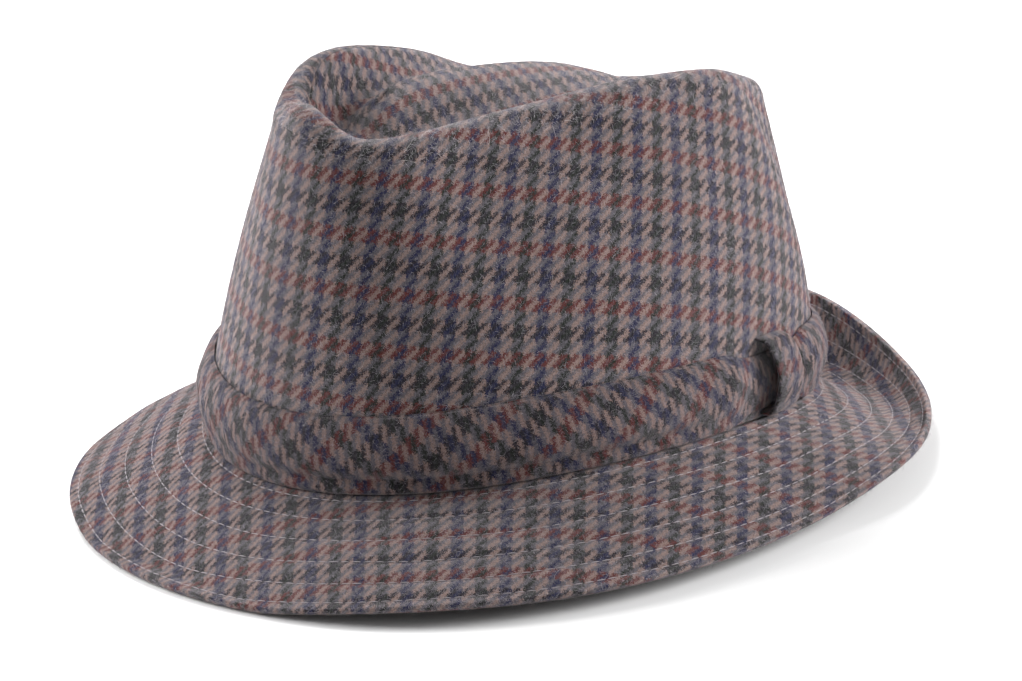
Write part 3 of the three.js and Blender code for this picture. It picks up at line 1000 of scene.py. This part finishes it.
@dataclass
class Brim(Piece):
    """The brim, quilted by its rows of stitches."""

    sections: int = 360
    steps: int = 56
    edge_steps: int = 7
    stitch_rows: tuple[float, ...] = (0.06, 0.24, 0.43, 0.62, 0.8, 0.95)
    quilt_depth: float = 0.35
    quilt_width: float = 0.9
    lump_height: float = 0.18
    lump_waves: tuple[Wave, ...] = (Wave(9, 7), Wave(17, -11, 1.1, 0.6))
    finish: ClothFinish = ClothFinish("brim_wool", "brim_cloth")

    def top(self, turn: Array, share: Array) -> Array:
        """The upper face, pulled in along the rows of stitches."""
        form = self.form
        narrow = form.brim_width / self.quilt_width
        dip = sum(np.exp(-(((share - row) * narrow) ** 2)) for row in self.stitch_rows)
        wave = self.lump_height * waved(turn, share, self.lump_waves) * smooth(share, 0.1, 0.5)
        lift = form.brim_cloth / 2 - self.quilt_depth * dip + wave
        return self.layer(turn, share, lift, form.brim_cloth)

    def layer(self, turn: Array, share: Array, lift: Array, lowest: float) -> Array:
        """A face at a distance above the brim's middle surface."""
        form = self.form
        up = form.brim_up(turn, share)
        up = np.where(share[..., None] == 0, np.array([0.0, 0.0, 1.0]), up)
        points = form.brim(turn, share) + up * np.asarray(lift + 0 * share)[..., None]
        return form.settled(points, lowest)

    def build(self) -> bpy.types.Object:
        """Builds and dresses the brim."""
        form = self.form
        half = form.brim_cloth / 2
        turn = np.linspace(0, 360, self.sections, endpoint=False)[:, None]
        share = np.linspace(0, 1, self.steps + 1)[None, :] + 0 * turn
        top = self.top(turn, share)
        under = self.layer(turn, share, -half + 0 * share, 0.0)
        edge_top, edge_under = top[:, -1:], under[:, -1:]
        bulge = math.pi * np.linspace(0, 1, self.edge_steps + 2)[None, 1:-1]
        middle = (edge_top + edge_under) / 2
        out = form.outward(turn + 0 * bulge)
        edge = middle + (edge_top - edge_under) / 2 * np.cos(bulge)[..., None]
        edge = edge + out * (half * form.edge_round * np.sin(bulge))[..., None]
        outer = np.concatenate([top, edge], axis=1)
        points = self.placed(np.concatenate([outer, under[:, ::-1]], axis=1))
        flat = self.cloth_places(turn, points[:, : outer.shape[1]])
        under_flat = self.cloth_places(turn, self.placed(under))
        places = np.concatenate([flat, under_flat[:, ::-1]], axis=1)
        made = merged(sweep("brim_cloth_body", points[:, ::-1], places[:, ::-1], True))
        self.dress(made, self.finisher.cloth(self.finish), self.finish.slot, "brim")
        shown = self.placed(top)
        shown = np.concatenate([shown, shown[:1]])
        bead = points[:, self.steps : outer.shape[1]]
        self.skins["brim"] = Skin(shown, -outward_normals(shown))
        self.skins["edge"] = Skin(bead, -outward_normals(bead))
        return made

    def cloth_places(self, turn: Array, outer: Array) -> Array:
        """The brim laid flat from above, with its slopes unrolled outward, on the bias."""
        length = arc_lengths(outer)
        start = outer[:, :1, :2]
        flat = start + self.form.outward(turn)[..., :2] * length[..., None]
        return rotated(flat, Grain.BIAS.value)


@dataclass
class Band(Piece):
    """The padded band, creased by a pleat near its foot."""

    sections: int = 420
    steps: int = 60
    fill: float = 0.7
    first_face: int = 2
    last_face: int = 45
    lump_height: float = 0.22
    lump_waves: tuple[Wave, ...] = (Wave(11, 3), Wave(23, -5, 0, 0.8))
    finish: ClothFinish = ClothFinish("band_wool", "band_cloth", tone=(0.8, 0.78, 0.79))

    def build(self) -> bpy.types.Object:
        """Builds and dresses the band."""
        form = self.form
        turn = form.loop_turn + np.linspace(0, 360, self.sections + 1)[:, None]
        proud, height, pleat = self.section()
        away = turns_apart(turn, form.loop_turn)
        pinched = 1 - smooth(away, form.pinch_reach / 2, form.pinch_reach)
        away = turns_apart(turn, form.pleat_middle)
        pleated = 1 - smooth(away, form.pleat_reach / 2, form.pleat_reach)
        share = height + (0.5 - height) * form.band_narrow * pinched
        padding = form.band_proud * proud * (1 - form.band_pinch * pinched)
        lumps = self.lump_height * waved(turn, height, self.lump_waves) * proud
        out = padding + form.band_pleat * pleat * pleated + lumps
        points = form.beside(turn + 0 * share, form.band_height * share, np.maximum(out, 0))
        points = self.placed(form.settled(points))
        around = arc_lengths(form.base(turn[:, 0]))[:, None]
        length = arc_lengths(points)
        cloth = rotated(stack(around + 0 * length, length), Grain.BIAS.value)
        made = merged(sweep("band_cloth_body", points, cloth, False))
        self.dress(made, self.finisher.cloth(self.finish), self.finish.slot, "band")
        face = slice(self.first_face, self.last_face)
        self.skins["band"] = Skin(points[:, face], outward_normals(points[:, face]))
        return made

    def section(self) -> Array:
        """The section's proud and height as smooth curves through its rows, and its pleat."""
        rows = np.array(BAND_SECTION)
        count = len(rows)
        at = np.linspace(0, count, self.steps, endpoint=False)
        index = np.floor(at).astype(int)
        share = (at - index)[:, None]
        v0, v1, v2, v3 = (rows[(index + step) % count] for step in (-1, 0, 1, 2))
        curves = between(share, (v1, v2), ((v2 - v0) / 2, (v3 - v1) / 2))
        pleat = v1[:, 2] * (1 - share[:, 0]) + v2[:, 2] * share[:, 0]
        return np.stack([np.maximum(curves[:, 0], 0), np.maximum(curves[:, 1], 0), pleat])


@dataclass
class BandLoop(Piece):
    """The strap that arches over the band."""

    steps: int = 44
    ring: int = 36
    square_width: float = 0.2
    square_depth: float = 0.8
    finish: ClothFinish = ClothFinish("loop_wool", "loop_cloth", tone=(0.82, 0.8, 0.81))

    def build(self) -> bpy.types.Object:
        """Builds and dresses the strap."""
        form = self.form
        angle = math.pi * np.linspace(0, 1, self.steps + 1)[:, None]
        round_ring = 2 * math.pi * np.linspace(0, 1, self.ring, endpoint=False)[None, :]
        width = squared(np.cos(round_ring), self.square_width)
        depth = 0.5 - 0.5 * squared(np.sin(round_ring), self.square_depth)
        thinner = form.loop_cloth * depth
        half = form.loop_height / 2 - form.clearance
        height = form.clearance * 2 + half - (half - thinner) * np.cos(angle)
        proud = (form.loop_proud - thinner) * np.sin(angle) ** form.loop_round
        beside = form.base(np.array([form.loop_turn + 1, form.loop_turn - 1]))
        per_degree = np.linalg.norm(beside[0] - beside[1]) / 2
        turn = form.loop_turn + form.loop_width / per_degree * width / 2
        points = self.placed(form.settled(form.beside(turn + 0 * height, height, proud)))
        length = np.repeat(arc_lengths(points[:, 0])[:, None], self.ring, axis=1)
        flat = stack(form.loop_width / 2 * width + 0 * length + form.loop_cloth * depth, length)
        cloth = rotated(flat, Grain.STRAIGHT.value)
        made = merged(sweep("band_loop_cloth", points, cloth, False))
        self.dress(made, self.finisher.cloth(self.finish), self.finish.slot, "band_loop")
        top = points[:, : self.ring // 2]
        self.skins["loop"] = Skin(top, -outward_normals(top))
        return made


def tubes(paths: Array, radius: Array, sides: int) -> tuple[Array, Array]:
    """Closed thin tubes along many short paths.

    Args:
        paths: tubes by points by 3.
        radius: tubes by points: the radius at each point.
        sides: how many sides a tube has.

    Returns:
        The vertices and the faces.
    """
    count, steps = paths.shape[:2]
    forward = unit(np.gradient(paths, axis=1))
    helper = np.where(np.abs(forward[..., 2:3]) < 0.9, np.array([0.0, 0, 1]), np.array([1.0, 0, 0]))
    side = unit(np.cross(forward, helper))
    up = np.cross(side, forward)
    angle = 2 * math.pi * np.arange(sides) / sides
    ring = side[..., None, :] * np.cos(angle)[:, None] + up[..., None, :] * np.sin(angle)[:, None]
    points = paths[..., None, :] + ring * radius[..., None, None]
    number = np.arange(count * steps * sides).reshape(count, steps, sides)
    near, far = number[:, :-1], number[:, 1:]
    faces = np.stack([near, np.roll(near, -1, 2), np.roll(far, -1, 2), far], axis=-1)
    return points.reshape(-1, 3), faces.reshape(-1, 4)


def ribbons(paths: Array, half_width: Array, aside: Array) -> tuple[Array, Array]:
    """Flat thin ribbons along many short paths.

    Args:
        paths: ribbons by points by 3.
        half_width: ribbons by points.
        aside: ribbons by 1 by 3: a direction that a ribbon's width is to lie near.

    Returns:
        The vertices and the faces.
    """
    count, steps = paths.shape[:2]
    across = unit(np.cross(np.gradient(paths, axis=1), aside)) * half_width[..., None]
    points = np.stack([paths - across, paths + across], axis=2)
    number = np.arange(count * steps * 2).reshape(count, steps, 2)
    near, far = number[:, :-1], number[:, 1:]
    faces = np.stack([near[..., 0], near[..., 1], far[..., 1], far[..., 0]], axis=-1)
    return points.reshape(-1, 3), faces.reshape(-1, 4)


@dataclass
class Stitching(Piece):
    """Rows of stitches sewn round the brim."""

    brim: Brim | None = None
    stitch: float = 2.6
    gap: float = 0.7
    radius: float = 0.15
    sides: int = 5
    points: int = 5
    arch: float = 1.2
    sunk: float = 0.2
    taper: float = 0.45
    finish: ThreadFinish = ThreadFinish("sewing_thread", "brim_cloth", srgb(152, 144, 148))

    def build(self) -> bpy.types.Object:
        """Builds and dresses the stitches."""
        assert self.brim is not None
        paths, widths = [], []
        fine = np.linspace(0, 360, 2 * FINE_TURNS - 1)
        for row in self.brim.stitch_rows:
            line = self.brim.top(fine[:, None], np.full((fine.size, 1), row))[:, 0]
            length = arc_lengths(line)
            count = int(length[-1] / (self.stitch + self.gap))
            starts = np.arange(count) * length[-1] / count
            inside = np.linspace(0, 1, self.points)
            at = starts[:, None] + inside * self.stitch
            turn = np.interp(at, length, fine)
            points = self.brim.top(turn, np.full(turn.shape, row))
            normal = self.form.brim_up(turn, np.full(turn.shape, row))
            bow = np.sin(math.pi * inside)
            lift = self.radius * (self.arch * bow - self.sunk)
            paths.append(self.placed(points + normal * lift[..., None]))
            width = 1 - self.taper + self.taper * bow
            widths.append(np.full(turn.shape, self.radius) * width)
        points, faces = tubes(np.concatenate(paths), np.concatenate(widths), self.sides)
        made = mesh_object("brim_stitches", points, faces)
        self.dress(made, self.finisher.thread(self.finish), self.finish.slot)
        return made


@dataclass(frozen=True)
class FuzzLayer:
    """How fibres stand on one skin."""

    name: str
    skin: str
    slot: str
    count: int
    longest: float
    color: tuple[float, float, float]
    shortest: float = 0.35


@dataclass
class WoolFuzz(Piece):
    """The loose fibres that stand out of the brushed wool."""

    seed: int = 7
    rough: float = 0.9
    width: float = 0.045
    points: int = 4
    lean: tuple[float, float] = (0.15, 0.75)
    curl: float = 0.35
    short_share: float = 1.3
    root: float = 0.1
    taper: float = 0.75
    tumble: float = 0.6
    layers: tuple[FuzzLayer, ...] = (
        FuzzLayer("crown", "crown", "crown_cloth", 30000, 1.8, srgb(160, 154, 160)),
        FuzzLayer("tip", "tip", "tip_cloth", 9000, 1.8, srgb(166, 158, 162)),
        FuzzLayer("brim", "brim", "brim_cloth", 20000, 1.5, srgb(158, 150, 156)),
        FuzzLayer("edge", "edge", "brim_cloth", 6000, 1.6, srgb(162, 154, 158)),
        FuzzLayer("band", "band", "band_cloth", 10000, 1.6, srgb(140, 132, 138)),
        FuzzLayer("loop", "loop", "loop_cloth", 1500, 1.5, srgb(140, 132, 138)),
        FuzzLayer("fold", "fold", "crown_cloth", 90, 7.0, srgb(214, 206, 204), 0.3),
        FuzzLayer("rim", "fold", "crown_cloth", 5000, 1.8, srgb(180, 174, 178)),
    )

    def build(self) -> list[bpy.types.Object]:
        """Builds and dresses the fibres of each skin."""
        chance = np.random.default_rng(self.seed)
        return [self.fibres(layer, chance) for layer in self.layers]

    def fibres(self, layer: FuzzLayer, chance: np.random.Generator) -> bpy.types.Object:
        """One layer of fibres, each a curved flat ribbon that tapers to its tip."""
        place, normal = self.skins[layer.skin].scatter(layer.count, chance)
        one_each = (layer.count, 1)
        length = layer.longest * chance.uniform(layer.shortest, 1.0, one_each) ** self.short_share
        aside = unit(np.cross(normal, unit(chance.normal(size=(layer.count, 3)))))
        lean = chance.uniform(*self.lean, one_each)
        curl = chance.normal(0, self.curl, one_each) * np.cross(normal, aside)
        share = np.linspace(0, 1, self.points)[None, :, None]
        path = place[:, None] - normal[:, None] * self.root + (
            aside[:, None] * share
            + normal[:, None] * lean[:, None] * share * (1.4 - 0.6 * share)
            + curl[:, None] * share**2
        ) * length[:, None]
        path[..., 2] = np.maximum(path[..., 2], self.width)
        width = self.width * (1 - self.taper * share[..., 0]) + 0 * length
        facing = unit(normal + self.tumble * chance.normal(size=normal.shape))
        points, faces = ribbons(path, width, facing[:, None])
        piece = mesh_object(f"{layer.name}_fibres", points, faces)
        finish = ThreadFinish(f"{layer.name}_fibre", layer.slot, layer.color, self.rough)
        self.dress(piece, self.finisher.thread(finish), layer.slot)
        return piece


@dataclass(frozen=True)
class Shot:
    """The photo's camera: degrees, millimetres, and pixels to a millimetre at the hat."""

    azimuth: float = 45.88
    elevation: float = 17.96
    roll: float = -2.25
    distance: float = 902.65
    right: float = 1.55
    up: float = 35.44
    scale: float = 3.15
    zoom: float = 1.0144
    width: int = 1022
    sensor: float = 36


@dataclass(frozen=True)
class Lamp:
    """A soft light that looks at the hat."""

    name: str
    azimuth: float
    elevation: float
    distance: float
    size: float
    power: float


def direction(azimuth: float, elevation: float) -> Vector:
    """The direction at degrees round from the front and degrees above the level."""
    turn, rise = math.radians(azimuth), math.radians(elevation)
    level = math.cos(rise)
    return Vector((math.sin(turn) * level, -math.cos(turn) * level, math.sin(rise)))


@dataclass
class Studio:
    """The pale floor, the soft lights and the camera."""

    shot: Shot = Shot()
    world: float = 0.31
    floor_tone: float = 0.85
    floor_size: float = 30
    floor_rough: float = 0.9
    aim_height: float = 0.06
    lamps: tuple[Lamp, ...] = (
        Lamp("key", 142, 18, 1.3, 0.8, 31),
        Lamp("side", -58, 22, 1.3, 0.8, 27),
        Lamp("back", -112, 45, 1.4, 0.9, 28),
    )

    def build(self) -> None:
        """Builds the studio."""
        self.floor()
        self.light()
        self.camera()

    def floor(self) -> None:
        """A plain pale floor."""
        bpy.ops.mesh.primitive_plane_add(size=self.floor_size, location=(0, 0, -FLOOR_GAP * MM))
        plane = bpy.context.active_object
        plane.name = "floor"
        material, _, shader = new_material("floor_paper")
        tone = self.floor_tone
        set_up(shader, {"Base Color": (tone, tone, tone, 1), "Roughness": self.floor_rough})
        plane.data.materials.append(material)

    def light(self) -> None:
        """Soft lamps and an even pale surrounding."""
        bpy.context.scene.view_settings.view_transform = "Standard"
        world = bpy.data.worlds.new("studio")
        bpy.context.scene.world = world
        world.use_nodes = True
        background = next(node for node in world.node_tree.nodes if node.type == "BACKGROUND")
        set_up(background, {"Color": (1, 1, 1, 1), "Strength": self.world})
        for lamp in self.lamps:
            data = bpy.data.lights.new(lamp.name, "AREA")
            data.shape = "DISK"
            data.size = lamp.size
            data.energy = lamp.power
            made = bpy.data.objects.new(lamp.name, data)
            bpy.context.scene.collection.objects.link(made)
            toward = direction(lamp.azimuth, lamp.elevation)
            made.location = toward * lamp.distance + Vector((0, 0, self.aim_height))
            made.rotation_euler = toward.to_track_quat("Z", "Y").to_euler()

    def camera(self) -> None:
        """The camera at the photo's angle."""
        shot = self.shot
        turn, roll = math.radians(shot.azimuth), math.radians(shot.roll)
        back = direction(shot.azimuth, shot.elevation)
        level = Vector((math.cos(turn), math.sin(turn), 0))
        above = back.cross(level)
        right = level * math.cos(roll) + above * math.sin(roll)
        up = above * math.cos(roll) - level * math.sin(roll)
        place = (back * shot.distance + right * shot.right + up * shot.up) * MM
        data = bpy.data.cameras.new("camera")
        data.sensor_width = shot.sensor
        data.lens = shot.distance * shot.scale * shot.zoom * shot.sensor / shot.width
        made = bpy.data.objects.new("camera", data)
        bpy.context.scene.collection.objects.link(made)
        made.matrix_world = Matrix((
            (right.x, up.x, back.x, place.x),
            (right.y, up.y, back.y, place.y),
            (right.z, up.z, back.z, place.z),
            (0, 0, 0, 1),
        ))
        bpy.context.scene.camera = made


def solids_shift(form: HatForm) -> Array:
    """How far the solids stand from the form's own origin, in millimetres."""
    low, high = (np.array(corner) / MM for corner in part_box("brim"))
    turn = np.array([[0.0], [180.0]])
    edge = form.brim(turn, np.ones((2, 1)))
    edge = edge + form.outward(turn) * (form.brim_cloth / 2 * form.edge_round)
    own = form.settled(edge, form.brim_cloth / 2)[:, 0, 1]
    return np.array([(low[0] + high[0]) / 2, (low[1] + high[1]) / 2 - own.mean(), 0.0])


def main() -> None:
    """Builds the hat over its solids, then the studio."""
    logging.basicConfig(level=logging.INFO, format="%(name)s %(message)s")
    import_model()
    form = HatForm()
    finisher = Finisher(Yarn(), Fibres())
    shift = solids_shift(form)
    LOG.info("solids stand at %s mm", np.round(shift, 3))
    skins: dict[str, Skin] = {}
    shared = {"form": form, "finisher": finisher, "shift": shift, "skins": skins}
    CrownSide(**shared).build()
    CrownTip(**shared).build()
    brim = Brim(**shared)
    brim.build()
    Band(**shared).build()
    BandLoop(**shared).build()
    Stitching(**shared, brim=brim).build()
    WoolFuzz(**shared).build()
    Studio().build()


if __name__ == "__main__":
    main()
